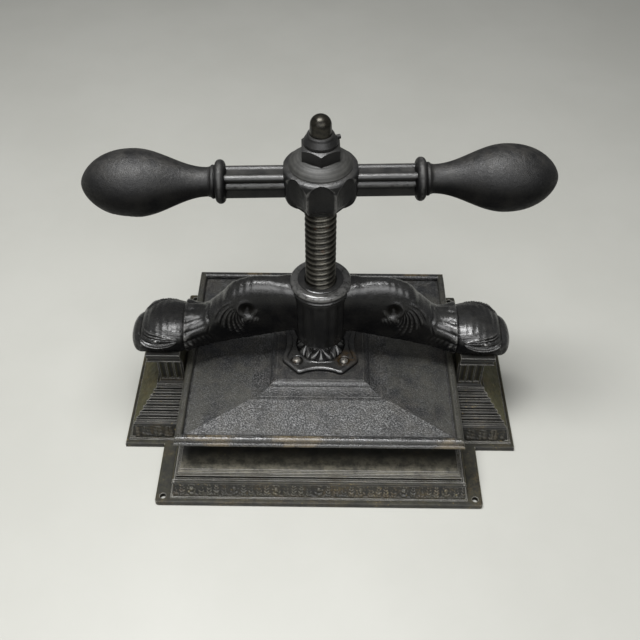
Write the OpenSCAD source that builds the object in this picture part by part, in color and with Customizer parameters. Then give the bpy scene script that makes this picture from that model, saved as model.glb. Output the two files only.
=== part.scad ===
// Iron book press: screw, double lever and platen under a yoke with two sea-creature arms.
// Millimetres, +Z up, +X to the right, -Y toward the viewer; the base stands on z = 0.

/* [Platen] */
// Width of the platen, left to right
platen_w = 305; // [280:1:330]
// Depth of the platen, front to back
platen_d = 260; // [235:1:285]
// Thickness of the moulded rim
rim_t = 12; // [10:0.5:15]
// Rise of the four sloping facets from rim to level top
hip_rise = 5.5; // [4:0.5:7]
// Side of the level square between the facets
plateau_w = 150; // [130:1:170]
// Rise of the square pad above the level top
pad_rise = 6.2; // [5:0.2:8]
// Width of the raised pad
pad_w = 96; // [92:1:104]
// Depth of the raised pad
pad_d = 103; // [99:1:110]
// Clear height between bed and platen as the press stands
daylight = 36; // [4:1:39]

/* [Retaining plate] */
// Reach of the plate from the screw axis to the left and right
plate_reach_x = 42.5; // [41:0.5:43.5]
// Reach of the plate to the front and back
plate_reach_y = 46; // [44.5:0.5:47]
// Thickness of the plate
plate_t = 3.6; // [2.5:0.1:4.5]
// Radius of the round opening around the screw foot
plate_hole_r = 27.5; // [26.5:0.1:28.5]
// Distance of each fixing screw from the two centre lines
plate_screw_at = 26.2; // [25.6:0.1:27]
// Head diameter of the fixing screws
plate_screw_head_d = 9.6; // [8:0.1:10.5]

/* [Base] */
// Height of the bed
bed_h = 30; // [26:1:36]
// Thickness of the bottom flange
flange_t = 6; // [5:0.5:8]
// Width of the moulding from the bed's edge to the flange's edge
moulding_run = 26.5; // [24:0.5:32]
// How far the bed passes the platen at front and back
bed_margin = 3; // [1:0.5:6]
// Iron left around the hollow underside
wall_t = 8; // [6:0.5:10]
// Diameter of the four holes for holding the press down
mount_hole_d = 6.5; // [5:0.1:7]
// Distance of those holes from the flange's edges
mount_inset = 8; // [7:0.1:9]

/* [Pedestals] */
// Height of the seat for the yoke
seat_h = 103; // [97:1:110]
// Play between the platen and each pedestal
guide_gap = 1.5; // [1:0.1:2.5]
// Width of the fluted neck, left to right
neck_w = 29; // [26:0.5:33]
// Depth of the fluted neck, front to back
neck_d = 54; // [48:1:60]
// Overhang of the square cap beyond the neck
cap_over = 8.5; // [7:0.5:10]
// Thickness of the square cap
cap_t = 10; // [8:0.5:12]
// Width of the stepped foot at the outer side
foot_run_x = 38; // [34:0.5:44]
// Width of the stepped foot at front and back
foot_run_y = 56.5; // [52:0.5:62]

/* [Yoke] */
// Radius of the barrel that holds the screw
barrel_r = 31.3; // [29.8:0.1:33]
// Height of the barrel
barrel_h = 86; // [80:1:92]
// Half thickness of the arms
arm_half = 17; // [15:0.5:20]
// Half width of the creature's head
head_half = 31.5; // [29:0.5:34]
// Height of the head above its seat
head_rise = 32.5; // [31:0.5:37]
// Height of the arm's hump above the seat
hump_rise = 84; // [78:0.5:88]

/* [Screw] */
// Outside diameter of the thread
screw_d = 31.8; // [30:0.1:33]
// Advance of the screw in one turn
screw_pitch = 7; // [6:0.1:8]
// Depth of the thread
thread_depth = 2.6; // [2:0.1:3]
// Length of the thread from the foot to the lever hub
thread_len = 190; // [182:1:200]
// Diameter of the stud above the hub
stud_d = 20.6; // [19:0.1:22]
// Length of the stud above the hub, with its dome
stud_len = 52; // [50:0.5:58]

/* [Lever] */
// Length of the lever over both bulbs
lever_len = 448; // [420:1:480]
// Angle of the lever to the platen as the press stands
lever_angle = 2.1; // [-15:0.1:15]
// Diameter of each bulb
bulb_d = 64; // [58:0.5:70]
// Side of the square bars
bar_w = 25; // [22:0.5:27]
// Radius of the eight-sided hub
hub_r = 36; // [34:0.5:38]
// Height of the hub
hub_h = 46; // [43:0.5:49]
// Size of the lower nut across its flats
nut_af = 35; // [32:0.1:37]
// Diameter of the round lock nut
lock_d = 32; // [30:0.5:34]

/* [Hidden] */
$fn = 48;

// Heights of the moving part, counted up from the bed
platen_z = bed_h + daylight;
rim_z = platen_z + rim_t;
panel_z = rim_z - 5.1;
plateau_z = panel_z + hip_rise;
pad_z = plateau_z + pad_rise;
foot_t = 7;
cone_h = 12;
thread_z = pad_z + cone_h;
hub_z = thread_z + thread_len;
hub_top = hub_z + hub_h;
washer_h = 10;
nut_h = 13;
lock_h = 10.5;
// Plan of the base
bed_x = platen_w / 2 - 2.5;
bed_y = platen_d / 2 + bed_margin;
base_x = bed_x + moulding_run;
base_y = bed_y + moulding_run;
guide_x = platen_w / 2 + guide_gap;
neck_x = guide_x + neck_w;
post_x = guide_x + (neck_w + cap_over) / 2;
wing_x = neck_x + foot_run_x;
wing_y = neck_d / 2 + foot_run_y;
neck_z = seat_h * 0.5;
lip_z = bed_h * 0.82;
bolt_r = 6;
bolt_z = seat_h * 0.44;
lever_up = hub_h * 0.6;
// Yoke
barrel_z = seat_h;
barrel_top = barrel_z + barrel_h;
arm_x = barrel_r - 2.3;
collar_x = guide_x - 4;
nose_x = guide_x + 56;
pin_z = seat_h + 2.6;
screw_r = screw_d / 2;

iron = [0.13, 0.13, 0.13];
dusty = [0.22, 0.2, 0.16];
steel = [0.3, 0.29, 0.25];

// Solid whose level sections are rectangles: one outline across, one front to back
module crossed(length_x, length_y) {
    intersection() {
        rotate([90, 0, 0])
            linear_extrude(length_y, center = true)
                children(0);
        rotate([90, 0, 90])
            linear_extrude(length_x, center = true)
                children(1);
    }
}

// Rectangle with round corners, half sizes x and y
module round_rect(x, y, r) {
    square([2 * x, 2 * (y - r)], center = true);
    square([2 * (x - r), 2 * y], center = true);
    for (sx = [-1, 1], sy = [-1, 1])
        translate([sx * (x - r), sy * (y - r)])
            circle(r = r);
}

// Base: flange, leaf frieze, three small steps and bed, seen end-on; the frieze slopes from foot to head
module bed_outline(half, foot, head) {
    frieze_z = bed_h * 0.66;
    for (s = [-1, 1])
        scale([s, 1]) {
            square([half + moulding_run - 1.5, flange_t]);
            square([half + moulding_run, flange_t - 1.5]);
            translate([half + moulding_run - 1.5, flange_t - 1.5])
                circle(r = 1.5);
            square([half + foot + 1, flange_t + 1.6]);
            polygon([[0, flange_t], [half + foot, flange_t], [half + head, frieze_z], [0, frieze_z]]);
            square([half + head * 0.75, frieze_z + 1.6]);
            square([half + head * 0.5, (frieze_z + bed_h) / 2 + 0.8]);
            square([half + head * 0.25, bed_h - 2.2]);
            square([half, bed_h]);
            translate([half + head - 0.6, frieze_z])
                circle(r = 1.5);
        }
}

// Pedestal outline from the neck outward: stepped or plain sloping foot, neck, flare and square cap
module pedestal_outline(back, neck, run, stepped) {
    steps = 7;
    step_h = (neck_z - 3 - lip_z) / steps;
    square([neck + run, flange_t - 1.5]);
    square([neck + run - 1.5, flange_t]);
    translate([neck + run - 1.5, flange_t - 1.5])
        circle(r = 1.5);
    square([neck + run * 0.89, flange_t + 2]);
    polygon([[back, 0], [neck + run * 0.85, 0], [neck + run * 0.85, flange_t],
        [neck + run * 0.75, lip_z], [back, lip_z]]);
    if (stepped) {
        translate([neck + run * 0.75 - 0.8, lip_z - 0.6])
            circle(r = 2);
        for (i = [0 : steps - 1]) {
            translate([back, lip_z - 1])
                square([neck + run * (0.71 - 0.66 * i / steps) - back, (i + 1) * step_h + 1 - 0.9]);
            translate([neck + run * (0.71 - 0.66 * i / steps) - 1, lip_z + (i + 1) * step_h - 1])
                circle(r = 1);
        }
    } else {
        polygon([[back, lip_z - 1], [neck + run * 0.75, lip_z - 1], [neck + run * 0.75, lip_z],
            [neck + 3, neck_z - 3], [back, neck_z - 3]]);
    }
    translate([back, 0])
        square([neck - back, seat_h]);
    difference() {
        square([neck + 4, neck_z + 2]);
        translate([neck + 4, neck_z + 2])
            circle(r = 4);
    }
    difference() {
        translate([back, seat_h - cap_t - cap_over])
            square([neck - back + cap_over, cap_over]);
        translate([neck + cap_over, seat_h - cap_t - cap_over])
            circle(r = cap_over - 0.6);
    }
    translate([back, seat_h - cap_t])
        square([neck - back + cap_over - 1.2, cap_t]);
    translate([back, seat_h - cap_t * 0.45])
        square([neck - back + cap_over, cap_t * 0.45]);
}

module pedestal() {
    difference() {
        crossed(4 * wing_x, 2 * wing_y) {
            difference() {
                pedestal_outline(bed_x - 6, neck_x, foot_run_x, false);
                translate([0, bed_h])
                    square([guide_x, seat_h]);
                square([bed_x - 6, bed_h]);
            }
            union() {
                pedestal_outline(0, neck_d / 2, foot_run_y, true);
                mirror([1, 0])
                    pedestal_outline(0, neck_d / 2, foot_run_y, true);
            }
        }
        for (i = [-1 : 1]) {
            for (s = [-1, 1])
                translate([guide_x + neck_w * (0.52 + 0.29 * i), s * (neck_d / 2 + 1.6), neck_z + 3])
                    cylinder(r = 3.7, h = seat_h - cap_t - neck_z - 3.5);
            translate([neck_x + 1.6, i * neck_d * 0.28, neck_z + 3])
                cylinder(r = 3.7, h = seat_h - cap_t - neck_z - 3.5);
        }
    }
}

module base_casting() {
    color(dusty)
        difference() {
            union() {
                intersection() {
                    crossed(3 * base_x, 3 * base_y) {
                        bed_outline(bed_x, moulding_run * 0.34, moulding_run * 0.28);
                        bed_outline(bed_y, moulding_run * 0.74, moulding_run * 0.4);
                    }
                    linear_extrude(2 * bed_h)
                        round_rect(base_x, base_y, 4);
                }
                for (s = [0, 1])
                    mirror([s, 0, 0])
                        pedestal();
            }
            // hollow underside, and under each pedestal a counterbore for the bolt's head
            translate([0, 0, (bed_h - wall_t) / 2 - 1])
                cube([2 * (bed_x - wall_t), 2 * (bed_y - wall_t), bed_h - wall_t + 2], center = true);
            for (s = [-1, 1]) {
                translate([s * post_x, 0, -1])
                    cylinder(r = neck_w * 0.43, h = bolt_z + 1);
                translate([s * post_x, 0, -1])
                    cylinder(r = bolt_r + 0.5, h = seat_h + 2);
            }
            for (sx = [-1, 1], sy = [-1, 1])
                translate([sx * (base_x - mount_inset), sy * (base_y - mount_inset), -1])
                    cylinder(d = mount_hole_d, h = flange_t + 2);
        }
}

// Arm and head of one sea creature: sections across X, each [x, top, bottom, half thickness, squareness]
arm_path = [
    [arm_x - 14, hump_rise - 6, 18, 1.1, 2.8],
    [arm_x + 4, hump_rise - 1, 17, 1.1, 2.8],
    [arm_x + 15, hump_rise - 1, 14, 1.04, 2.4],
    [arm_x + 23, hump_rise, 11.5, 1, 2.2],
    [arm_x + 41, hump_rise, 6.5, 1, 2.2],
    [arm_x + 55, hump_rise - 4, 3, 1, 2.2],
    [arm_x + 67, hump_rise - 11, 0.5, 1, 2.2],
    [collar_x - 44, hump_rise - 25, -2, 1.03, 2.5],
    [collar_x - 33, hump_rise - 36, -3.5, 1.1, 2.4],
    [collar_x - 23, head_rise + 6, -4.5, 1.22, 2.3],
    [collar_x - 12, head_rise + 3.6, -5, 1.46, 2.3],
    [collar_x - 3, head_rise + 3.4, -5, 1.66, 2.2],
    [collar_x, head_rise + 0.5, -5, 1.58, 2.2]];
head_path = [
    [collar_x - 1, head_rise - 2, -5, 0.87, 2.2],
    [collar_x + 3, head_rise - 0.8, -6, 0.95, 2.2],
    [collar_x + 12, head_rise + 0.5, -6, 0.99, 2.2],
    [collar_x + 22, head_rise, -6, 1, 2.2],
    [collar_x + 34, head_rise - 3.6, -6, 0.98, 2.2],
    [collar_x + 43, head_rise - 9.5, -7, 0.93, 2.2],
    [collar_x + 48, head_rise - 14, -9, 0.86, 2.2],
    [nose_x - 10, head_rise - 16, -10.5, 0.8, 2.2],
    [nose_x - 5.5, head_rise - 18.5, -10.5, 0.69, 2.2],
    [nose_x - 2, head_rise - 22.5, -8.5, 0.5, 2.1],
    [nose_x, head_rise - 28.5, -2, 0.22, 2]];

sides = 24;

function rounded(c, power) = sign(c) * pow(abs(c), 2 / power);

// One level section as a closed ring of points
function ring(s, half) = [for (i = [0 : sides - 1])
    let (a = 360 * (i + 0.5) / sides, mid = (s[1] + s[2]) / 2, rise = (s[1] - s[2]) / 2)
    [s[0], half * s[3] * rounded(cos(a), a < 180 ? s[4] : 4),
        seat_h + mid + rise * rounded(sin(a), a < 180 ? s[4] : 4)]];

// Smooth values between the given sections
function blend(a, b, c, d, t) = 0.5 * (2 * b + (c - a) * t + (2 * a - 5 * b + 4 * c - d) * t * t
    + (3 * b - a - 3 * c + d) * t * t * t);
function smooth(path, parts) = [for (i = [0 : len(path) - 2], k = [0 : parts - 1])
    blend(path[max(i - 1, 0)], path[i], path[i + 1], path[min(i + 2, len(path) - 1)], k / parts),
    path[len(path) - 1]];

module loft(path, half, parts) {
    sections = smooth(path, parts);
    count = len(sections);
    points = [for (s = sections) each ring(s, half)];
    skin = [for (j = [0 : count - 2], i = [0 : sides - 1])
        let (n = (i + 1) % sides)
        each [[j * sides + i, (j + 1) * sides + n, j * sides + n],
            [j * sides + i, (j + 1) * sides + i, (j + 1) * sides + n]]];
    ends = [[for (i = [0 : sides - 1]) i],
        [for (i = [0 : sides - 1]) count * sides - 1 - i]];
    polyhedron(points, concat(skin, ends));
}

module barrel() {
    translate([0, 0, barrel_z])
        rotate_extrude() {
            polygon([[0, 0], [barrel_r * 0.74, 0], [barrel_r * 0.86, 4], [barrel_r * 0.93, 10],
                [barrel_r * 0.975, 20], [barrel_r, 36], [barrel_r, barrel_h - 6],
                [barrel_r - 3, barrel_h - 0.6], [0, barrel_h - 0.6]]);
            translate([barrel_r - 3.6, barrel_h - 4.8])
                circle(r = 4.8);
        }
}

module yoke_casting() {
    color(iron)
        difference() {
            union() {
                barrel();
                for (s = [0, 1])
                    mirror([s, 0, 0]) {
                        loft(arm_path, arm_half, 2);
                        loft(head_path, head_half, 2);
                        translate([arm_x + 5, 0, seat_h + 27])
                            rotate([90, 0, 0])
                                cylinder(r = 5, h = 1.9 * arm_half, center = true);
                    }
            }
            // seats, screw bore, bolt and pin holes
            for (s = [-1, 1]) {
                translate([s * (guide_x + neck_x + cap_over) / 2, 0, seat_h - 20])
                    cube([neck_w + cap_over + 3, 4 * head_half, 40], center = true);
                translate([s * post_x, 0, seat_h - 2])
                    cylinder(r = bolt_r + 0.1, h = 26);
                translate([s * post_x, -head_half - 4, pin_z])
                    rotate([-90, 0, 0])
                        cylinder(r = 1.7, h = head_half + 4);
                // deep eye of the scroll on both faces of the arm
                for (t = [-1, 1])
                    translate([s * (arm_x + 49), t * (arm_half + 2), seat_h + 54])
                        rotate([90, 0, 0])
                            cylinder(r1 = 7, r2 = 7, h = 16, center = true);
            }
            translate([0, 0, barrel_z - 1])
                cylinder(r = screw_r + 0.08, h = barrel_h + 2);
        }
}

module yoke_bolt(s) {
    color(steel)
        translate([s * post_x, 0, 0]) {
            translate([0, 0, bolt_z - 3 - 8])
                cylinder(r = neck_w * 0.37, h = 8, $fn = 6);
            translate([0, 0, bolt_z - 3.5])
                cylinder(r = bolt_r, h = seat_h + 22 - bolt_z + 3.5);
        }
}

module bolt_washer(s) {
    color(steel)
        translate([s * post_x, 0, bolt_z - 3])
            difference() {
                cylinder(r = neck_w * 0.41, h = 3);
                translate([0, 0, -1])
                    cylinder(r = bolt_r + 0.4, h = 5);
            }
}

module yoke_pin(s) {
    color(steel)
        translate([s * post_x, -head_half * 0.86, pin_z])
            rotate([-90, 0, 0])
                cylinder(r = 1.6, h = head_half * 0.86 - bolt_r - 0.1);
}

// Platen rim seen end-on: thick lower bead, hollow, upper bead
module rim_outline(half) {
    for (s = [-1, 1])
        scale([s, 1]) {
            square([half - 2.6, rim_t - 5]);
            translate([half - 2.6, 2.6])
                circle(r = 2.6);
            translate([half - 2.6, 2.6])
                square([1, 2]);
            square([half - 3.4, rim_t - 2.4]);
            square([half - 4.2, rim_t]);
            translate([half - 4.2, rim_t - 2.6])
                circle(r = 2.6);
        }
}

// Sunk field inside the upper bead, which keeps its round inner side
module field_outline(half) {
    for (s = [-1, 1])
        scale([s, 1])
            difference() {
                translate([0, rim_t - 6.4])
                    square([half - 6.8, 10]);
                translate([half - 6.8, rim_t - 2.6])
                    circle(r = 2.6);
            }
}

// Panel in the field: low edge, facet rising to the level top
module panel_outline(half, level) {
    for (s = [-1, 1])
        scale([s, 1])
            polygon([[0, 2], [half - 11.5, 2], [half - 11.5, rim_t - 5.1],
                [level, rim_t - 5.1 + hip_rise], [0, rim_t - 5.1 + hip_rise]]);
}

// Raised pad seen end-on: a narrow sharp fillet, a swelling roll and a long hollow that runs out on the level
module pad_outline(half) {
    sill = 0.26 * pad_rise;
    bulge = pad_rise - 0.8 - sill;
    roll = pad_rise + 0.8;
    cove = 2 * pad_rise;
    lip = 0.2;
    side = concat([[half, pad_rise]],
        [for (a = [90 : -11.25 : 0]) [half + roll * cos(a), sill + bulge * sin(a)]],
        [for (t = [0.125 : 0.125 : 1]) [half + roll + cove * t, lip + (sill - lip) * pow(1 - t, 2)]],
        [[half + roll + cove, -1]]);
    polygon(concat(side, [for (i = [len(side) - 1 : -1 : 0]) [-side[i][0], side[i][1]]]));
}

module platen() {
    color(iron)
        difference() {
            union() {
                translate([0, 0, platen_z])
                    difference() {
                        crossed(3 * platen_w, 3 * platen_d) {
                            rim_outline(platen_w / 2);
                            rim_outline(platen_d / 2);
                        }
                        crossed(3 * platen_w, 3 * platen_d) {
                            field_outline(platen_w / 2);
                            field_outline(platen_d / 2);
                        }
                    }
                translate([0, 0, platen_z])
                    crossed(3 * platen_w, 3 * platen_d) {
                        panel_outline(platen_w / 2, plateau_w / 2);
                        panel_outline(platen_d / 2, plateau_w / 2);
                    }
                translate([0, 0, plateau_z])
                    crossed(200, 200) {
                        pad_outline(pad_w / 2);
                        pad_outline(pad_d / 2);
                    }
            }
            translate([0, 0, pad_z - foot_t - 0.5])
                cylinder(r = plate_hole_r + 4, h = foot_t + 2);
            for (sx = [-1, 1], sy = [-1, 1])
                translate([sx * plate_screw_at, sy * plate_screw_at, pad_z - 9])
                    cylinder(r = 2.4, h = 12);
        }
}

// Plate outline: four hollow sides and cut corners, drawn in from its edge
module plate_outline(inset) {
    long = plate_reach_x * 0.55;
    dip = long * 0.28;
    far = (long * long - dip * dip) / (2 * dip);
    cut = (plate_reach_y + long) * 0.7071 - inset;
    difference() {
        intersection() {
            square([2 * (plate_reach_x - inset), 2 * (plate_reach_y - inset)], center = true);
            rotate(45)
                square(2 * cut, center = true);
        }
        for (s = [-1, 1]) {
            translate([0, s * (plate_reach_y + far)])
                circle(r = far + dip + inset);
            translate([s * (plate_reach_x + 66), 0])
                circle(r = 70 + inset);
        }
    }
}

module retaining_plate() {
    color(iron)
        translate([0, 0, pad_z])
            difference() {
                linear_extrude(plate_t)
                    plate_outline(0);
                translate([0, 0, plate_t - 1.1])
                    linear_extrude(3)
                        plate_outline(7);
                translate([0, 0, -1])
                    cylinder(r = plate_hole_r, h = plate_t + 2);
                for (sx = [-1, 1], sy = [-1, 1])
                    translate([sx * plate_screw_at, sy * plate_screw_at, -1])
                        cylinder(r = 2.4, h = plate_t + 2);
            }
}

module plate_screw(sx, sy) {
    head_r = plate_screw_head_d / 2;
    color(steel)
        translate([sx * plate_screw_at, sy * plate_screw_at, pad_z + plate_t - 1.1])
            difference() {
                union() {
                    rotate_extrude()
                        polygon([[0, 0], [head_r, 0], [head_r * 0.94, 1.1],
                            [head_r * 0.74, 2.1], [head_r * 0.4, 2.75], [0, 3]]);
                    translate([0, 0, -plate_t - 6])
                        cylinder(r = 2.3, h = plate_t + 6.2);
                }
                translate([0, 0, 3])
                    cube([2 * head_r + 2, 1.2, 3], center = true);
            }
}

// Thread as a skin whose radius swells once for every turn of the right-hand helix
thread_sides = 20;
thread_rows = 5;

function thread_r(turn, z) = screw_r - thread_depth
    * pow(0.5 - 0.5 * cos(360 * (z / screw_pitch - turn)), 0.8);

module thread_skin() {
    rows = ceil(thread_len / screw_pitch * thread_rows);
    points = [for (j = [0 : rows], i = [0 : thread_sides - 1])
        let (a = 360 * i / thread_sides, z = thread_len * j / rows, r = thread_r(i / thread_sides, z))
        [r * cos(a), r * sin(a), thread_z + z]];
    skin = [for (j = [0 : rows - 1], i = [0 : thread_sides - 1])
        let (n = (i + 1) % thread_sides, k = j * thread_sides, m = k + thread_sides)
        each [[k + i, m + i, m + n], [k + i, m + n, k + n]]];
    ends = [[for (i = [0 : thread_sides - 1]) i],
        [for (i = [0 : thread_sides - 1]) rows * thread_sides + thread_sides - 1 - i]];
    polyhedron(points, concat(skin, ends));
}

module press_screw() {
    dome_r = stud_d / 2;
    color(steel)
        rotate(lever_angle) {
            thread_skin();
            translate([0, 0, pad_z - foot_t + 1])
                cylinder(r = screw_r - thread_depth - 1, h = foot_t + cone_h - 1);
            translate([0, 0, hub_z + hub_h / 2])
                cube([screw_d * 0.62, screw_d * 0.62, hub_h], center = true);
            translate([0, 0, hub_top - 1])
                cylinder(r = dome_r, h = stud_len - dome_r + 1);
            translate([0, 0, hub_top + stud_len - dome_r])
                rotate_extrude()
                    intersection() {
                        circle(r = dome_r);
                        square(dome_r);
                    }
        }
}

// Leaf collar fixed on the end of the screw: flange held under the plate, cone of leaves above
module screw_foot() {
    rim = plate_hole_r + 3.4;
    core = screw_r - thread_depth - 1;
    color(iron)
        translate([0, 0, pad_z])
            difference() {
                rotate_extrude()
                    polygon([[0, -foot_t], [rim - 1.5, -foot_t], [rim, -foot_t + 1.5], [rim, -0.4],
                        [plate_hole_r - 0.9, -0.4], [plate_hole_r - 0.9, 0.6], [plate_hole_r * 0.84, 5],
                        [plate_hole_r * 0.7, 9], [screw_r + 1, cone_h], [0, cone_h]]);
                translate([0, 0, -foot_t + 1])
                    cylinder(r = core + 0.05, h = foot_t + cone_h);
                for (i = [0 : 11])
                    rotate(30 * i)
                        translate([plate_hole_r * 0.935, 0, 2.6])
                            rotate([0, -40, 0])
                                cylinder(r = 1.6, h = 24);
            }
}

// Bulb and bead collar turned about the lever's axis
module grip_outline() {
    half = lever_len / 2;
    top = bulb_d / 2;
    mid = half - 50;
    neck = half * 0.472;
    front = [for (i = [0 : 12]) let (a = 7.5 * i)
        [mid + 50 * sin(a), top * pow(max(0, 1 - pow(sin(a), 2.2)), 0.6)]];
    back = [for (i = [0 : 12]) let (t = i / 12, w = (1 - cos(180 * t)) / 2)
        [neck + (mid - neck) * t, bar_w * 0.55 + (top - bar_w * 0.55) * w]];
    polygon(concat([[half * 0.38, 0], [half * 0.38, bar_w * 0.55]], back, front));
    translate([half * 0.415, 0])
        square([4, bar_w * 0.8]);
    translate([half * 0.415 + 1, bar_w * 0.66])
        circle(r = bar_w * 0.17);
    translate([half * 0.45, bar_w * 0.54])
        circle(r = bar_w * 0.1);
}

// Bar seen end-on, with a groove along its front and back
module bar_outline() {
    difference() {
        square(bar_w, center = true);
        for (s = [-1, 1]) {
            translate([0, s * bar_w / 2])
                circle(r = bar_w * 0.16);
            for (t = [-1, 1])
                translate([s * bar_w / 2, t * bar_w / 2])
                    rotate(45)
                        square(2, center = true);
        }
    }
}

module lever() {
    color(iron)
        translate([0, 0, hub_z])
            rotate(lever_angle)
                difference() {
                    union() {
                        intersection() {
                            rotate_extrude()
                                polygon([[0, 0], [hub_r * 0.55, 0], [hub_r * 0.73, hub_h * 0.07],
                                    [hub_r * 0.92, hub_h * 0.22], [hub_r, hub_h * 0.38],
                                    [hub_r, hub_h * 0.88], [hub_r * 0.96, hub_h * 0.965],
                                    [hub_r * 0.88, hub_h], [0, hub_h]]);
                            rotate(22.5)
                                cylinder(r = hub_r * 1.045, h = hub_h, $fn = 8);
                        }
                        translate([0, 0, lever_up])
                            for (s = [0, 1])
                                mirror([s, 0, 0]) {
                                    rotate([90, 0, 90])
                                        linear_extrude(lever_len * 0.2)
                                            bar_outline();
                                    rotate([0, 90, 0])
                                        rotate_extrude()
                                            rotate(90)
                                                scale([1, -1])
                                                    grip_outline();
                                }
                    }
                    translate([0, 0, hub_h / 2])
                        cube([screw_d * 0.62 + 0.1, screw_d * 0.62 + 0.1, hub_h + 2], center = true);
                    // six scooped flutes, none where the bars leave the hub
                    for (a = [-90, -45, 45, 90, 135, 225])
                        rotate(a)
                            translate([hub_r + 15.2, 0, hub_h * 0.97])
                                rotate([0, 7.5, 0])
                                    translate([0, 0, -1.2 * hub_h])
                                        cylinder(r = 17, h = 1.2 * hub_h);
                }
}

module dome_washer() {
    color(iron)
        translate([0, 0, hub_top])
            difference() {
                rotate_extrude()
                    polygon([[0, 0], [hub_r * 0.83, 0], [hub_r * 0.83, 1.2], [hub_r * 0.79, 3.8],
                        [hub_r * 0.72, 6.4], [hub_r * 0.63, 8.6], [hub_r * 0.52, washer_h], [0, washer_h]]);
                translate([0, 0, -1])
                    cylinder(r = stud_d / 2 + 0.3, h = washer_h + 2);
            }
}

module hex_nut(af, h, z, turn) {
    color(steel)
        translate([0, 0, z])
            rotate(lever_angle + turn)
                difference() {
                    intersection() {
                        cylinder(r = af / 1.732, h = h, $fn = 6);
                        rotate_extrude()
                            polygon([[0, 0], [af / 1.732, 0], [af / 1.732, h - 2.4], [af / 2 - 1, h], [0, h]]);
                    }
                    translate([0, 0, -1])
                        cylinder(r = stud_d / 2 + 0.1, h = h + 2);
                }
}

// Round lock nut, tapered, with a small lug at its side
module round_nut() {
    r = lock_d / 2;
    color(steel)
        translate([0, 0, hub_top + washer_h + nut_h])
            rotate(lever_angle)
                difference() {
                    union() {
                        rotate_extrude()
                            polygon([[0, 0], [r - 0.6, 0], [r, 0.8], [r, 3], [r - 1, 4.8], [r - 2.6, 7.6],
                                [r - 3.4, 9.6], [r - 4.2, lock_h], [0, lock_h]]);
                        rotate(20)
                            translate([r - 2, 0, 2.6])
                                rotate([0, 90, 0])
                                    cylinder(r = 2.2, h = 5);
                    }
                    translate([0, 0, -1])
                        cylinder(r = stud_d / 2 + 0.1, h = lock_h + 2);
                }
}

base_casting();
yoke_casting();
yoke_bolt(-1);  // yoke_bolt_left
yoke_bolt(1);  // yoke_bolt_right
bolt_washer(-1);  // bolt_washer_left
bolt_washer(1);  // bolt_washer_right
yoke_pin(-1);  // yoke_pin_left
yoke_pin(1);  // yoke_pin_right
platen();
retaining_plate();
plate_screw(-1, -1);  // plate_screw_front_left
plate_screw(1, -1);  // plate_screw_front_right
plate_screw(-1, 1);  // plate_screw_back_left
plate_screw(1, 1);  // plate_screw_back_right
press_screw();
screw_foot();
lever();
dome_washer();
hex_nut(nut_af, nut_h, hub_top + washer_h, 30);  // lever_nut
round_nut();  // lock_nut
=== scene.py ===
import bpy
import numpy as np
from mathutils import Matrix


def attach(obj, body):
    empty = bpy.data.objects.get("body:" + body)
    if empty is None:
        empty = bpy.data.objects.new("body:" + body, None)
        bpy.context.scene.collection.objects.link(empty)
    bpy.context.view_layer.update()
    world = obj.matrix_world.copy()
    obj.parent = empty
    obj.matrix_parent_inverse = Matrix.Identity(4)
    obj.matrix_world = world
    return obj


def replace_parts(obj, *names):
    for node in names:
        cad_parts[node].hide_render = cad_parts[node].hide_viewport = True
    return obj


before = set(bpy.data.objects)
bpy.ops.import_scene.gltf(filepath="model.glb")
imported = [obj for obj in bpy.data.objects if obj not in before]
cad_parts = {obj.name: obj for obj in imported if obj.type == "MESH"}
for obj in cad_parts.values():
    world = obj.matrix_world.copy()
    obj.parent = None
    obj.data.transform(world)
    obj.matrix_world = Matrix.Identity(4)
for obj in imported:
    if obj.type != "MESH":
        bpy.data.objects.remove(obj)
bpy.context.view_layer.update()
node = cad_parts

# Base casting: bed, stepped mouldings and the two fluted pedestals, poured in one piece of grey iron.
# Black japanning has worn thin; brown dust lies on the level faces and the step edges are rubbed bright.


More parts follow.
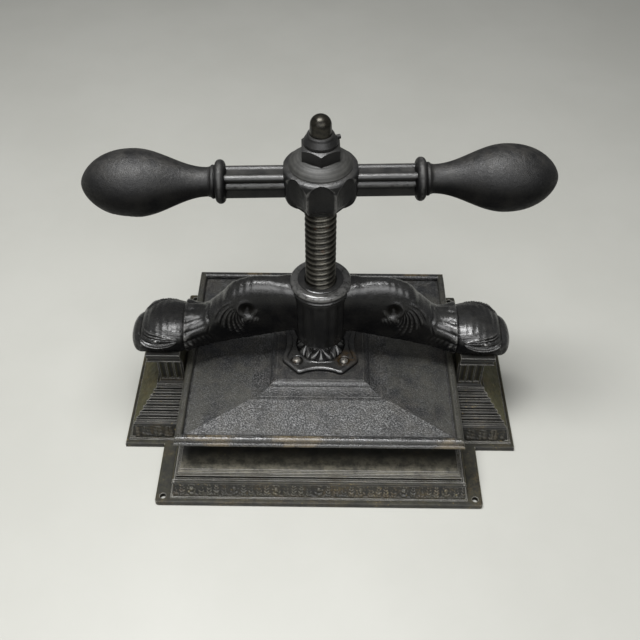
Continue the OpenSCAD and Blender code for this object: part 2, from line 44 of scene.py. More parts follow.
class Finish:
    """A finish being wired from nodes. Each method adds a node or two and hands back an output; lay covers
    the colour so far instead."""

    def __init__(self, name):
        self.mat = bpy.data.materials.new(name)
        self.mat.use_nodes = True
        self.tree = self.mat.node_tree
        self.shader = self.tree.nodes["Principled BSDF"]
        self.place = self.add("TexCoord").outputs["Object"]
        self.normal = self.add("NewGeometry").outputs["Normal"]

    def fill(self, inputs, key, value):
        """Links an output to a socket, or sets the socket to a constant."""
        if isinstance(value, bpy.types.NodeSocket):
            self.tree.links.new(value, inputs[key])
        else:
            inputs[key].default_value = value

    def add(self, kind, sockets=(), **settings):
        made = self.tree.nodes.new("ShaderNode" + kind)
        for key, value in settings.items():
            setattr(made, key, value)
        for key, value in dict(sockets).items():
            self.fill(made.inputs, key, value)
        return made

    def noise(self, scale, detail=4.0, rough=0.6, stretch=(1, 1, 1), shift=0.0):
        """Cloudy value from 0 to 1, with features about 1/scale metres wide, stretched along the axes."""
        spot = self.add("Mapping", {"Vector": self.place, "Scale": stretch, "Location": (shift,) * 3})
        return self.add("TexNoise", {"Vector": spot.outputs[0], "Scale": scale, "Detail": detail,
                                     "Roughness": rough}).outputs[0]

    def span(self, value, low, high, start=0.0, end=1.0):
        """Eases from start to end while the value goes from low to high."""
        return self.add("MapRange", {0: value, 1: low, 2: high, 3: start, 4: end},
                        interpolation_type="SMOOTHSTEP").outputs[0]

    def math(self, sort, a, b=0.0):
        return self.add("Math", {0: a, 1: b}, operation=sort).outputs[0]

    def times(self, a, b):
        return self.math("MULTIPLY", a, b)

    def parts(self, vector):
        """The X, Y and Z of a vector."""
        return self.add("SeparateXYZ", {0: vector}).outputs

    def mix(self, share, a, b):
        """Colour a where share is 0 and colour b where it is 1."""
        a, b = ((*c, 1) if isinstance(c, tuple) else c for c in (a, b))
        return self.add("Mix", {0: share, 6: a, 7: b}, data_type="RGBA").outputs[2]

    def lay(self, over, mask, share=1.0):
        """Lays a colour over the colour so far where the mask is 1, covering it by the share."""
        self.colour = self.mix(self.times(mask, share), self.colour, over)

    def facing_up(self, low=0.5, high=0.97):
        """1 on level faces, 0 on steep ones."""
        return self.span(self.parts(self.normal)[2], low, high)

    def rubbed_edge(self, reach, low=0.985, high=0.86):
        """A normal rounded over sharp edges, and 1 along them, where it turns away from the face's own."""
        soft = self.add("Bevel", {"Radius": reach}, samples=4).outputs[0]
        turn = self.add("VectorMath", {0: soft, 1: self.normal}, operation="DOT_PRODUCT")
        return soft, self.span(turn.outputs["Value"], low, high)

    def corner_shade(self, reach):
        """1 deep in corners and grooves of the same piece, within the reach, and 0 on open faces: the mask
        for painted shade.
        """
        open_share = self.add("AmbientOcclusion", {"Distance": reach}, samples=6, only_local=True)
        return self.span(open_share.outputs["AO"], 0.9, 0.4)

    def carved(self):
        """Height of carved relief stored on the mesh: about 1 on crests and -1 in hollows."""
        return self.add("Attribute", attribute_name="relief").outputs["Fac"]

    def bump(self, height, depth, strength=1.0, normal=None):
        sockets = {"Height": height, "Distance": depth, "Strength": strength}
        if normal is not None:
            sockets["Normal"] = normal
        return self.add("Bump", sockets).outputs[0]

    def done(self, **sockets):
        """Wires the colour and the named sockets to the shader."""
        self.fill(self.shader.inputs, "Base Color", self.colour)
        for key, value in sockets.items():
            self.fill(self.shader.inputs, key.replace("_", " "), value)
        return self.mat


def paint(name, finish):
    """Gives one CAD node its finish."""
    node[name].data.materials.clear()
    node[name].data.materials.append(finish)


def dusty_iron(name):
    """Thin black over brown iron: dust on level faces and outer flanks, rust blooms, ochre flecks, bright
    rubbed edges. The pedestals' steps hold less dust. Painted shade lies near-black in corners and grooves
    and over the pedestals' necks, and the bed carries the platen's painted shadow, darkest towards the middle
    and easing towards the front into a pale dusty tone that is partly painted light."""
    pedestal_x, foot_z, neck_z, bed_z, shaded_y, shade_end_y = 0.15, 0.009, 0.052, 0.0245, 0.107, 0.131
    f = Finish(name)
    soft, edge = f.rubbed_edge(0.0014)
    cloud = f.noise(38, 6, 0.62)
    fine = f.noise(520, 5, 0.7)
    x, y, height = f.parts(f.place)
    outboard = f.span(f.math("ABSOLUTE", x), pedestal_x, pedestal_x + 0.005)
    on_steps = f.times(outboard, f.span(height, foot_z, foot_z + 0.003))
    f.colour = f.mix(f.span(cloud, 0.35, 0.7), (0.009, 0.0088, 0.008), (0.023, 0.0217, 0.017))
    f.lay((0.012, 0.0118, 0.0105), on_steps)
    drift = f.times(f.facing_up(), f.span(f.noise(75, 7, 0.68, shift=3), 0.3, 0.62, 0.25, 1.0))
    drift = f.times(drift, f.span(on_steps, 0.0, 1.0, 0.52, 0.1))
    sideways = f.span(f.math("ABSOLUTE", f.parts(f.normal)[0]), 0.25, 0.6)
    flank = f.times(sideways, f.span(f.noise(60, 6, 0.65, shift=8), 0.3, 0.65, 0.95, 1.25))
    drift = f.math("MAXIMUM", drift, flank)
    dust = f.mix(f.span(f.noise(150, 8, 0.75), 0.36, 0.64), (0.016, 0.015, 0.0085), (0.064, 0.06, 0.029))
    f.lay(dust, drift, 0.8)
    f.lay((0.125, 0.119, 0.05), flank, 0.2)
    bloom = f.times(f.span(f.noise(26, 5, 0.6, shift=7), 0.5, 0.64), f.span(fine, 0.4, 0.62))
    f.lay((0.1, 0.07, 0.027), bloom, 0.45)
    fleck = f.times(f.span(f.noise(330, 3, 0.6, shift=5), 0.62, 0.69), f.span(cloud, 0.45, 0.6))
    f.lay((0.23, 0.17, 0.06), fleck, 0.7)
    # Painted shade: near-black laid in the base's corners and grooves, which are also dulled.
    in_hollows = f.corner_shade(0.007)
    f.lay((0.004, 0.0038, 0.003), in_hollows, 0.9)
    # Painted shadow of the platen on the bed: near-black under it, easing towards the front into a pale dusty
    # tone that is partly painted light.
    bed = f.times(f.span(height, bed_z, bed_z + 0.004), f.math("SUBTRACT", 1.0, outboard))
    mottle = f.span(f.noise(95, 8, 0.74, shift=14), 0.38, 0.62)
    bed_dust_and_light = f.mix(mottle, (0.072, 0.069, 0.057), (0.18, 0.168, 0.13))
    f.lay(f.mix(f.span(f.math("ABSOLUTE", y), shaded_y, shade_end_y), (0.004, 0.004, 0.0037), bed_dust_and_light), bed, 0.8)
    speck = f.span(f.noise(340, 7, 0.8, shift=21), 0.5, 0.38, 0.0, 0.5)
    f.lay((0.005, 0.0048, 0.004), speck)
    # Painted shade over the pedestals' necks, which also keep less edge wear.
    neck = f.times(on_steps, f.span(height, neck_z, neck_z + 0.008))
    f.lay((0.006, 0.006, 0.0056), neck, 0.55)
    worn = f.times(edge, f.span(f.noise(190, 5, 0.7, shift=2), 0.18, 0.44))
    worn = f.times(worn, f.span(f.noise(48, 4, 0.6, shift=12), 0.34, 0.56, 0.5, 1.0))
    worn = f.times(worn, f.span(neck, 0.0, 1.0, 1.0, 0.5))
    f.lay((0.4, 0.39, 0.355), worn, 0.9)
    rough = f.math("ADD", f.span(f.noise(160, 5), 0.3, 0.7, 0.36, 0.56), f.times(drift, 0.16))
    grain = f.math("ADD", f.times(fine, 0.6), f.noise(1700, 3, 0.7))
    shine = f.times(f.span(edge, 0.0, 0.8, 0.35, 1.0), f.span(in_hollows, 0.0, 1.0, 1.0, 0.15))
    return f.done(Roughness=f.math("SUBTRACT", rough, f.times(worn, 0.16)), Metallic=f.times(worn, 0.1),
                  Normal=f.bump(grain, 0.00022, 0.8, soft), Specular_IOR_Level=shine)


paint("base_casting", dusty_iron("dusty_black_iron"))

# Carved friezes of the base: rosettes and leaves in the hollow of the moulding, cast with the base.
# They stand a millimetre or two out of the hollow on all four sides; tongues stand on the pedestals' feet.

mm = 0.001
bed_half_x, bed_half_y, moulding = 150.0, 133.0, 26.5
frieze_low, frieze_high, rosette_pitch = 7.7, 19.0, 45.7
side_frieze, side_frieze_y = 50.0, 113.0
pedestal_mid, neck_half_y, neck_run = 184.5, 27.0, 56.5
tongue_low, tongue_high, tongue_pitch, tongue_run = 8.0, 22.4, 13.0, 52.0
tiny = 1e-6


def piece(name, sheets, body, finish, sharp=None):
    """Builds one object from sheets of grid points and puts it on a body.
    A sheet is (points[u, v], relief[u, v], ring): a tube closed along v. Its ends meet where ring is true and
    are closed by fans round their middle points where it is false. Quads join neighbouring grid points, and
    a sheet whose signed volume comes out negative is turned to face outwards."""
    verts, quads, fans, tone, first = [], [], [], [], 0
    for points, relief, ring in sheets:
        nu, nv = points.shape[:2]
        index = first + np.arange(nu * nv).reshape(nu, nv)
        here, after = (index, np.roll(index, -1, 0)) if ring else (index[:-1], index[1:])
        four = np.stack([here, np.roll(here, -1, 1), np.roll(after, -1, 1), after], -1).reshape(-1, 4)
        flat = points.reshape(-1, 3)
        three = np.zeros((0, 3), int)
        if not ring:
            middle = first + nu * nv
            flat = np.vstack([flat, points[0].mean(0), points[-1].mean(0)])
            low, high = index[0], index[-1]
            three = np.vstack([np.stack([np.full(nv, middle), np.roll(low, -1), low], -1),
                               np.stack([np.full(nv, middle + 1), high, np.roll(high, -1)], -1)])
            relief = np.concatenate([relief.ravel(), [relief[0].mean(), relief[-1].mean()]])
        a, b, c, d = (flat[four[:, k] - first] for k in range(4))
        if np.sum(a * np.cross(b, c)) + np.sum(a * np.cross(c, d)) < 0:
            four, three = four[:, ::-1], three[:, ::-1]
        verts.append(flat)
        tone.append(np.ravel(relief))
        quads += four.tolist()
        fans += three.tolist()
        first += len(flat)
    mesh = bpy.data.meshes.new(name)
    mesh.from_pydata(np.vstack(verts).tolist(), [], quads + fans)
    mesh.polygons.foreach_set("use_smooth", np.ones(len(mesh.polygons), bool))
    stored = mesh.attributes.new("relief", "FLOAT", "POINT")
    stored.data.foreach_set("value", np.concatenate(tone).astype(np.float32))
    if sharp:
        mesh.set_sharp_from_angle(angle=np.radians(sharp))
    mesh.materials.append(finish)
    made = bpy.data.objects.new(name, mesh)
    bpy.context.scene.collection.objects.link(made)
    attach(made, body)
    return made


def hill(x, width):
    """Round hill of height 1 that dies away at about twice its width."""
    return np.exp(-(x / width) ** 2)


def dome(x, width, power=0.5):
    """Rounded lump: one minus the square of x over the width, raised to a power, and 0 past the width."""
    return np.clip(1 - (x / width) ** 2, 0, 1) ** power


def step(x, low, high):
    """Eases from 0 to 1 between low and high."""
    t = np.clip((x - low) / (high - low), 0, 1)
    return t * t * (3 - 2 * t)


def from_nearest(s, pitch):
    """Signed distance to the nearest whole pitch."""
    return s - np.round(s / pitch) * pitch


def rosettes(s, up, tall):
    """Relief with a rosette every pitch: a dome with a ring cut in it and petals by a cosine of the angle.
    Between rosettes stand two pairs of pointed leaves, domes across their spines with veins and a midrib."""
    flower_r, flower_rise, ring_r, ring_cut, bud_rise = 5.7, 2.5, 2.9, 1.2, 0.8
    leaf_rise, midrib_cut = 2.1, 0.9
    inner_leaf, outer_leaf, leaf_half = 0.09 * rosette_pitch, 0.27 * rosette_pitch, 0.085 * rosette_pitch
    gap, rise = from_nearest(s, rosette_pitch), up - 0.5
    r, turn = np.hypot(gap, rise), np.arctan2(rise, gap)
    flower = flower_rise * dome(r, flower_r) * (0.78 + 0.22 * np.cos(8 * turn))
    flower = flower - ring_cut * hill(r - ring_r, 0.7) + bud_rise * hill(r, 1.3)
    side = np.abs(from_nearest(s - rosette_pitch / 2, rosette_pitch))
    spine = np.minimum(np.abs(side - inner_leaf), np.abs(side - outer_leaf))
    width = leaf_half * dome(up + 0.4, 0.55 * tall, 0.6) + tiny
    leaf = leaf_rise * dome(spine, width, 0.6) * (0.72 + 0.28 * np.cos(2.3 * up - 1.4 * spine))
    return np.maximum(flower, leaf - midrib_cut * hill(spine, 0.5))


def tongues(s, up, tall):
    """Relief with a round-topped leaf every pitch: a dome across a width that closes at the top as a fourth
    power, split by its midrib."""
    tongue_rise, midrib_cut = 2.2, 1.1
    gap = from_nearest(s, tongue_pitch)
    width = 0.47 * tongue_pitch * np.clip(1 - ((up + 0.12 * tall) / (0.6 * tall)) ** 4, 0, 1) ** 0.5 + tiny
    tongue = tongue_rise * dome(gap, width)
    return tongue - midrib_cut * hill(gap, 0.6) * (tongue > 0.4)


def frieze(length, centre, way, low, high, carving):
    """One straight run of frieze as a thin closed strip that faces the given way.
    The ground runs from low to high, each (distance out, height), and dips into the moulding's hollow as a
    sine. The carving, worn and made lumpy by products of sines, fades at the strip's edges and is added
    outward and a little upward. The back of the strip is sunk in the base."""
    rows, end_fade, hollow_dip, sink = 36, 1.5, 0.9, 0.3
    columns, back = max(int(length * 1.7), 24), high[0] - 4.0
    s = np.linspace(-length / 2, length / 2, columns)[:, None]
    t = np.linspace(0, 1, rows)[None, :]
    tall = high[1] - low[1]
    up = tall * (t - 0.5) + 0 * s
    lump = np.sin(0.83 * s + 0.9 * up) * np.sin(0.47 * s - 0.6 * up + 1.7)
    lump = lump + 0.6 * np.sin(1.9 * s + 1.1) * np.sin(1.3 * up)
    relief = (0.72 + 0.2 * np.sin(0.21 * s)) * carving(s, up, tall) + 0.35 * lump
    relief = relief * step(t, 0.02, 0.12) * step(t, 0.98, 0.9)
    relief = relief * step(length / 2 - np.abs(s), 0, end_fade)
    out = low[0] + (high[0] - low[0]) * t - hollow_dip * np.sin(np.pi * t) - sink + relief * 0.92
    z = low[1] + tall * t + relief * 0.3
    out = np.hstack([out, np.full((columns, 2), back)])
    z = np.hstack([z, np.full((columns, 1), high[1]), np.full((columns, 1), low[1])])
    relief = np.hstack([relief, np.zeros((columns, 2))])
    o, a = np.array(way, float), np.array([-way[1], way[0]], float)
    xy = np.array(centre, float) + out[..., None] * o + np.repeat(s, rows + 2, 1)[..., None] * a
    points = np.concatenate([xy, z[..., None]], -1) * mm
    return points, np.clip(relief / 1.5 - 0.4, -1, 1), False


def carved_dusty_iron(name, dimming):
    """The base's iron where it is carved: brown grime and rust in the hollows, rubbed grey on the crests, and
    painted shade, thick in the hollows and thin on the crests, by a given share."""
    f = Finish(name)
    height = f.carved()
    fine = f.noise(520, 5, 0.7)
    cloud = f.noise(30, 6, 0.62, shift=3)
    f.colour = f.mix(f.span(cloud, 0.35, 0.65), (0.012, 0.0115, 0.009), (0.03, 0.0275, 0.015))
    in_hollows = f.times(f.span(height, 0.15, -0.5), f.span(fine, 0.32, 0.6))
    f.lay((0.03, 0.025, 0.013), in_hollows, 0.75)
    rust = f.times(f.span(f.noise(42, 5, shift=8), 0.45, 0.6), f.span(fine, 0.36, 0.6))
    f.lay((0.07, 0.047, 0.019), rust, 0.7)
    fleck = f.span(f.noise(210, 4, 0.65, shift=5), 0.61, 0.68)
    f.lay((0.2, 0.16, 0.06), fleck, 0.6)
    worn = f.times(f.span(height, 0.2, 0.9), f.span(fine, 0.38, 0.62))
    f.lay((0.15, 0.138, 0.105), worn, 0.55)
    # Painted shade: near-black, thick in the hollows and thin on the crests.
    painted_shade = f.span(height, 0.45, -0.3, 0.6 * dimming ** 2, dimming)
    f.lay((0.004, 0.004, 0.003), painted_shade)
    return f.done(Roughness=f.span(fine, 0.3, 0.7, 0.34, 0.56), Specular_IOR_Level=0.6,
                  Normal=f.bump(f.math("ADD", fine, f.noise(1600, 3)), 0.00025, 0.8))


sides = (-1, 1)
front_run = [(moulding * 0.735, frieze_low), (moulding * 0.405, frieze_high)]
side_run = [(moulding * 0.337, frieze_low), (moulding * 0.282, frieze_high)]
foot_run = [(neck_run * 0.853, tongue_low), (neck_run * 0.757, tongue_high)]
base_friezes = [frieze(2 * bed_half_x + 15, (0, sy * bed_half_y), (0, sy), *front_run, rosettes)
                for sy in sides]
base_friezes += [frieze(side_frieze, (sx * bed_half_x, sy * side_frieze_y), (sx, 0), *side_run, rosettes)
                 for sx in sides for sy in sides]
foot_friezes = [frieze(tongue_run, (sx * pedestal_mid, sy * neck_half_y), (0, sy), *foot_run, tongues)
                for sx in sides for sy in sides]
# The carving is darkened by painted shade: somewhat on the base's friezes, almost to black on the pedestals'
# tongues.
piece("frieze_of_base", base_friezes, "frame", carved_dusty_iron("carved_dusty_iron", 0.4))
piece("frieze_of_pedestals", foot_friezes, "frame",
      carved_dusty_iron("painted_shade_dusty_iron", 0.93))

# Yoke: one casting with the screw's barrel in the middle and a carved sea creature curling out on each side.
# The arm swells over a hump, its side is cut with an acanthus scroll, and a ruff ends it behind the head.

seat, screw_r = 103.0, 15.9
barrel_r, barrel_z, barrel_h = 31.3, 103.0, 86.0
arm_x, arm_half, hump_rise = 29.0, 17.0, 84.0
collar_x, nose_x, head_half, head_rise = 150.0, 210.0, 31.5, 32.5
pin_x, pin_z, pin_r = 172.75, 105.6, 1.9

# Rows of a creature: distance out, top and bottom above the seat, half width as a share, squareness above.
arm_path = np.array([
    [arm_x - 14, hump_rise - 6, 18, 1.1, 2.8], [arm_x + 4, hump_rise - 1, 17, 1.1, 2.8],
    [arm_x + 15, hump_rise - 1, 14, 1.04, 2.4], [arm_x + 23, hump_rise, 11.5, 1, 2.2],
    [arm_x + 41, hump_rise, 6.5, 1, 2.2], [arm_x + 55, hump_rise - 4, 3, 1, 2.2],
    [arm_x + 67, hump_rise - 11, 0.5, 1, 2.2], [collar_x - 44, hump_rise - 25, -2, 1.03, 2.5],
    [collar_x - 33, hump_rise - 36, -3.5, 1.1, 2.4], [collar_x - 23, head_rise + 6, -4.5, 1.22, 2.3],
    [collar_x - 12, head_rise + 3.6, -5, 1.46, 2.3], [collar_x - 3, head_rise + 3.4, -5, 1.66, 2.2],
    [collar_x, head_rise + 0.5, -5, 1.58, 2.2]])
head_path = np.array([
    [collar_x - 1, head_rise - 2, -5, 0.87, 2.2], [collar_x + 3, head_rise - 0.8, -6, 0.95, 2.2],
    [collar_x + 12, head_rise + 0.5, -6, 0.99, 2.2], [collar_x + 22, head_rise, -6, 1, 2.2],
    [collar_x + 34, head_rise - 3.6, -6, 0.98, 2.2], [collar_x + 43, head_rise - 9.5, -7, 0.93, 2.2],
    [collar_x + 48, head_rise - 14, -9, 0.86, 2.2], [nose_x - 10, head_rise - 16, -10.5, 0.8, 2.2],
    [nose_x - 5.5, head_rise - 18.5, -10.5, 0.69, 2.2], [nose_x - 2, head_rise - 22.5, -8.5, 0.5, 2.1],
    [nose_x, head_rise - 28.5, -2, 0.22, 2]])


def flowing(path, count):
    """Smooth rows between the given ones: a cubic through each four neighbours, evaluated at even steps."""
    last = len(path) - 1
    u = np.linspace(0, last, count)
    i = np.minimum(u.astype(int), last - 1)
    t = (u - i)[:, None]
    a, b, c, d = (path[np.clip(i + k, 0, last)] for k in (-1, 0, 1, 2))
    bend, twist = 2 * a - 5 * b + 4 * c - d, 3 * b - a - 3 * c + d
    return 0.5 * (2 * b + (c - a) * t + bend * t ** 2 + twist * t ** 3)


def swept(path, half, along, around, crowd=0.0):
    """Skin of a creature: at each row a rounded box drawn in polar form. The radius at angle v is the
    super-ellipse one over (|cos|^p + |sin|^p)^(1/p); p is the row's own above the middle and 4 below it.
    The points crowd to the two sides by taking a share of the sine of twice the angle off the angle."""
    rows = flowing(path, along)[:, None]
    even = (np.arange(around) + 0.5) / around * 2 * np.pi
    v = even - crowd * np.sin(2 * even)
    power = np.where(np.sin(v) >= 0, rows[..., 4], 4.0)
    r = (np.abs(np.cos(v)) ** power + np.abs(np.sin(v)) ** power) ** (-1 / power)
    middle, rise = (rows[..., 1] + rows[..., 2]) / 2, (rows[..., 1] - rows[..., 2]) / 2
    x = rows[..., 0] + 0 * v
    return np.stack([x, half * rows[..., 3] * r * np.cos(v), seat + middle + rise * r * np.sin(v)], -1), v


def outward(points):
    """Unit normals of a tube of points: the cross product of the steps along and around it."""
    du = np.gradient(points, axis=0)
    dv = (np.roll(points, -1, 1) - np.roll(points, 1, 1)) / 2
    n = np.cross(dv, du)
    return n / np.maximum(np.linalg.norm(n, axis=-1, keepdims=True), 1e-9)


def both_sides(points, relief):
    """The right-hand form and its mirror image on the left."""
    return [(points * mm, relief, False), (points * [-mm, mm, mm], relief, False)]


def ripple(x, length):
    """Sine wave of the given length."""
    return np.sin(2 * np.pi * x / length)


def scroll(x, z):
    """Carving of the arm's side, polar about the scroll's eye: a rim beside it, leaf ribs on log spirals
    (angle plus log of distance) over the outer lower sector, and a ribbed oval curl below. Gives the relief,
    the eye's pit from 0 to 1, and the curl."""
    eye_x, eye_z, pit_r, rim_r, rim_rise = 78.0, 156.5, 6.6, 10.0, 1.1
    fan_in, fan_out, rib_turn, rib_rise = 11.0, 41.0, 0.25, 2.1
    curl_x, curl_z, curl_half_x, curl_half_z, curl_rise = 75.0, 141.5, 10.0, 6.0, 2.6
    r, turn = np.hypot(x - eye_x, z - eye_z), np.arctan2(z - eye_z, x - eye_x)
    fan = step(r, fan_in, fan_in + 4) * step(r, fan_out, fan_out - 6)
    fan = fan * step(turn, -1.6, -1.25) * step(turn, 0.6, 0.2)
    rib = np.abs(np.sin(np.pi * (turn + np.log(r / 20 + 0.05)) / rib_turn)) ** 0.6
    curl = dome(np.hypot((x - curl_x) / curl_half_x, (z - curl_z) / curl_half_z), 1.0)
    curl = curl * (1 + 0.22 * np.cos(2 * np.pi * (x - curl_x + 0.6 * (z - curl_z)) / 4.2))
    rim = hill(r - rim_r, 1.5) * step(turn, 2.6, 1.2)
    return rib_rise * fan * (rib - 0.5) + rim_rise * rim + curl_rise * curl, hill(r, pit_r) ** 2, curl


def ruff(x, v):
    """Carving of the leaf ruff behind the head: long leaf lines, a sine of six times the angle, that swell
    into lobes at a wavy line. A scalloped crease starts them and a bead ends them."""
    start, end, lobe_x, bead_x = 121.0, collar_x - 0.5, 143.5, 147.2
    leaf = np.abs(np.sin(6 * v + 0.3 * np.sin(x / 9.0)))
    lobe = hill(x - lobe_x - 1.5 * np.sin(3 * v), 4.0)
    relief = 0.8 * (leaf ** 0.6 - 0.6) * step(x, start, start + 6) + 1.5 * (leaf ** 0.8 - 0.35) * lobe
    relief = relief * step(x, end, end - 2.5)
    crease = x - start - 1.3 * np.cos(6 * v)
    return relief - 0.6 * hill(crease, 1.3) + 0.4 * hill(crease - 3, 1.6) + 0.9 * hill(x - bead_x, 1.7)


def creature_arm():
    """Arm with its carving pushed along the normals: the scroll and its deep pit on the sides, fine folds
    over the hump, grain and gills low on the sides, and the ruff all round."""
    pit_depth, grain_rise, fold_rise, gill_rise = 6.2, 0.3, 0.16, 0.4
    p, v = swept(arm_path, arm_half, 330, 132)
    n = outward(p)
    x, z = p[..., 0], p[..., 2]
    side, top = step(np.abs(n[..., 1]), 0.35, 0.8), step(n[..., 2], 0.1, 0.7)
    leaves, pit, curl = scroll(x, z)
    grain = ripple(z - 0.1 * x, 4.6) * step(x, 36, 44) * step(x, 108, 96) * step(z, 143, 134)
    fold = ripple(x + 0.12 * z, 7.0) * step(x, 60, 72) * step(x, 116, 106)
    gill = ripple(x - 0.55 * z, 5.2) * step(x, 114, 120) * step(x, 150, 145) * step(z, 124, 116)
    relief = side * (leaves - pit_depth * pit + grain_rise * grain + gill_rise * gill)
    relief = relief + fold_rise * fold * top + ruff(x, v)
    tone = (relief - 2.2 * side * curl) / 2.2 - 1.4 * side * pit
    return p + n * relief[..., None], np.clip(tone, -1, 1)


def almond_eye(ex, ez):
    """Carving of the eye and brow, from distances along and up from the eye's middle. The eye is an almond,
    its half height a parabola along the head. Lids and grooves lie at shares of that height, round a ball
    with a ringed pupil; brow ridges, a sine of the height over a flatter parabola, follow above it."""
    half_long, up_height, down_height = 25.0, 5.6, 9.4
    lid_rows = ((1.0, 1.9), (0.82, -1.5), (0.64, 1.5), (0.42, -1.3))
    ball_r, ball_rise, pupil_r, brow_rise, brow_pitch, brow_height = 3.6, 1.5, 2.1, 7.6, 1.9, 4.2
    above = ez > 0
    tallest = np.where(above, up_height, down_height)
    share_left = dome(ex, half_long, 1.0)
    lids = sum(rise * hill(np.abs(ez) - share * tallest * share_left, 0.11 * tallest)
               for share, rise in lid_rows)
    lids = lids * np.where(above, 1.4, 0.75)
    away = np.hypot(ex * 0.6, ez * np.where(above, 1.5, 1.0))
    ball = ball_rise * dome(away, ball_r) - 1.1 * hill(away - pupil_r, 0.6) + 0.4 * hill(away, 0.8)
    brow_up = ez - brow_rise * np.clip(1 - (ex / 40) ** 2, -2, 1)
    brow = np.abs(np.sin(np.pi * brow_up / brow_pitch)) ** 0.7 - 0.4
    brow = brow * step(brow_up, 0.0, 0.8) * step(brow_up, brow_height, brow_height - 0.8)
    return step(share_left, 0.05, 0.4) * (lids + ball) + 0.7 * brow * step(np.abs(ex + 8), 30, 20)


def creature_head():
    """Head with its carving pushed along the normals: eye and brow on the sides, fine folds over the
    forehead, a groove before the nose roll, a lip line and the hole that shows the cross pin's end. The
    underside is cut level on the pedestal's cap."""
    eye_x, eye_z, lip_z, nose_groove_x = 179.0, 120.6, 105.9, 198.2
    fold_rise, groove_cut, lip_cut, pin_cut = 0.18, 1.2, 0.8, 4.5
    cap_in, cap_out, clearance = 152.6, 192.9, 0.05
    p = swept(head_path, head_half, 212, 200, 0.4)[0]
    n = outward(p)
    x, y, z = p[..., 0], np.abs(p[..., 1]), p[..., 2]
    lean = np.abs(n[..., 1])
    side, top = step(lean, 0.15, 0.4), step(n[..., 2], 0.0, 0.5)
    ex, ez = x - eye_x, z - eye_z
    fold = ripple(x + 0.05 * y, 7.4) * step(x, 153, 158) * step(x, 196, 190)
    lip = hill(z - lip_z - 0.5 * np.cos(ex / 7), 0.9) * step(np.abs(ex), 25, 20)
    relief = side * (almond_eye(ex, ez) - lip_cut * lip) + fold_rise * fold * top
    relief = relief - groove_cut * hill(x - nose_groove_x, 1.4) * step(z, 106, 112)
    relief = relief - pin_cut * hill(np.hypot(x - pin_x, z - pin_z), pin_r) * step(lean, 0.2, 0.5)
    skin = p + n * relief[..., None]
    on_cap = (skin[..., 0] > cap_in) & (skin[..., 0] < cap_out)
    skin[..., 2] = np.where(on_cap, np.maximum(skin[..., 2], seat + clearance), skin[..., 2])
    return skin, np.clip(relief / 1.7, -1, 1)


def turned(profile, around, wave=None):
    """Profile of (radius, height) carried round the Z axis; wave(angle, row) adds to the radius."""
    a = np.arange(around) / around * 2 * np.pi
    r = profile[:, 0][:, None] + 0 * a
    if wave is not None:
        r = r + wave(a[None], np.arange(len(profile))[:, None])
    z = profile[:, 1][:, None] + 0 * a
    return np.stack([r * np.cos(a), r * np.sin(a), z], -1)


def even_line(corners, spacing):
    """Points at even spacing along a line through the corners."""
    c = np.array(corners, float)
    d = np.concatenate([[0], np.cumsum(np.linalg.norm(np.diff(c, axis=0), axis=1))])
    s = np.linspace(0, d[-1], int(d[-1] / spacing) + 2)
    return np.stack([np.interp(s, d, c[:, k]) for k in range(c.shape[1])], -1)


def arc(cx, cz, r, start, end, count):
    """Points on a circle round (cx, cz) from the start angle to the end angle, in degrees."""
    a = np.radians(np.linspace(start, end, count))
    return np.stack([cx + r * np.cos(a), cz + r * np.sin(a)], -1)


barrel_top, barrel_around, bore_r = barrel_z + barrel_h, 168, screw_r + 0.1
side_wall = flowing(np.array([
    [0.74 * barrel_r, barrel_z], [0.86 * barrel_r, barrel_z + 4], [0.93 * barrel_r, barrel_z + 10],
    [0.975 * barrel_r, barrel_z + 20], [barrel_r, barrel_z + 36], [barrel_r, barrel_top - 13]]), 60)[::-1]
mouth = even_line([(bore_r, barrel_z), (bore_r, barrel_top - 1.6), (bore_r + 1.1, barrel_top - 0.7),
                   (22.4, barrel_top - 0.6), (22.7, barrel_top - 1.2), (23.3, barrel_top - 1.2),
                   (23.6, barrel_top - 0.7)], 0.7)
big_bead = arc(barrel_r - 3.6, barrel_top - 4.8, 4.8, 128, -58, 30)
small_bead = arc(barrel_r - 0.6, barrel_top - 10.8, 1.0, 75, -75, 8)
barrel_line = np.vstack([mouth, big_bead, small_bead, side_wall])
line_r, line_z = barrel_line.T
fluted = step(line_z, barrel_z + 4, barrel_z + 12) * step(line_z, barrel_top - 13, barrel_top - 20)
fluted = fluted * (line_r > screw_r + 2)


def barrel_flutes(a, row):
    """Eighteen flutes in the fluted rows: the squared sine of nine times the angle, taken off the radius."""
    return -0.9 * fluted[row] * np.abs(np.sin(9 * a)) ** 2


barrel = turned(barrel_line, barrel_around, barrel_flutes)
bead_wear = hill(line_z - barrel_top + 1.5, 4.6) * (line_r > 24)
barrel_relief = np.repeat(bead_wear[:, None], barrel_around, 1)


def volute():
    """Small roll across the arm's root: a profile of radius against distance, turned about a line along Y."""
    end = [(0.5, -16.1), (2.2, -16.1), (2.4, -15.4), (3.0, -15.4), (3.3, -16.0), (4.4, -15.6), (4.9, -14.4)]
    line = even_line(end + [(r, -y) for r, y in end[::-1]], 0.5)
    roll = turned(line, 40)
    tone = np.repeat(0.7 * step(np.abs(line[:, 1]), 14, 15.5)[:, None], 40, 1)
    return roll[..., [0, 2, 1]] + [arm_x + 5, 0, seat + 27], tone


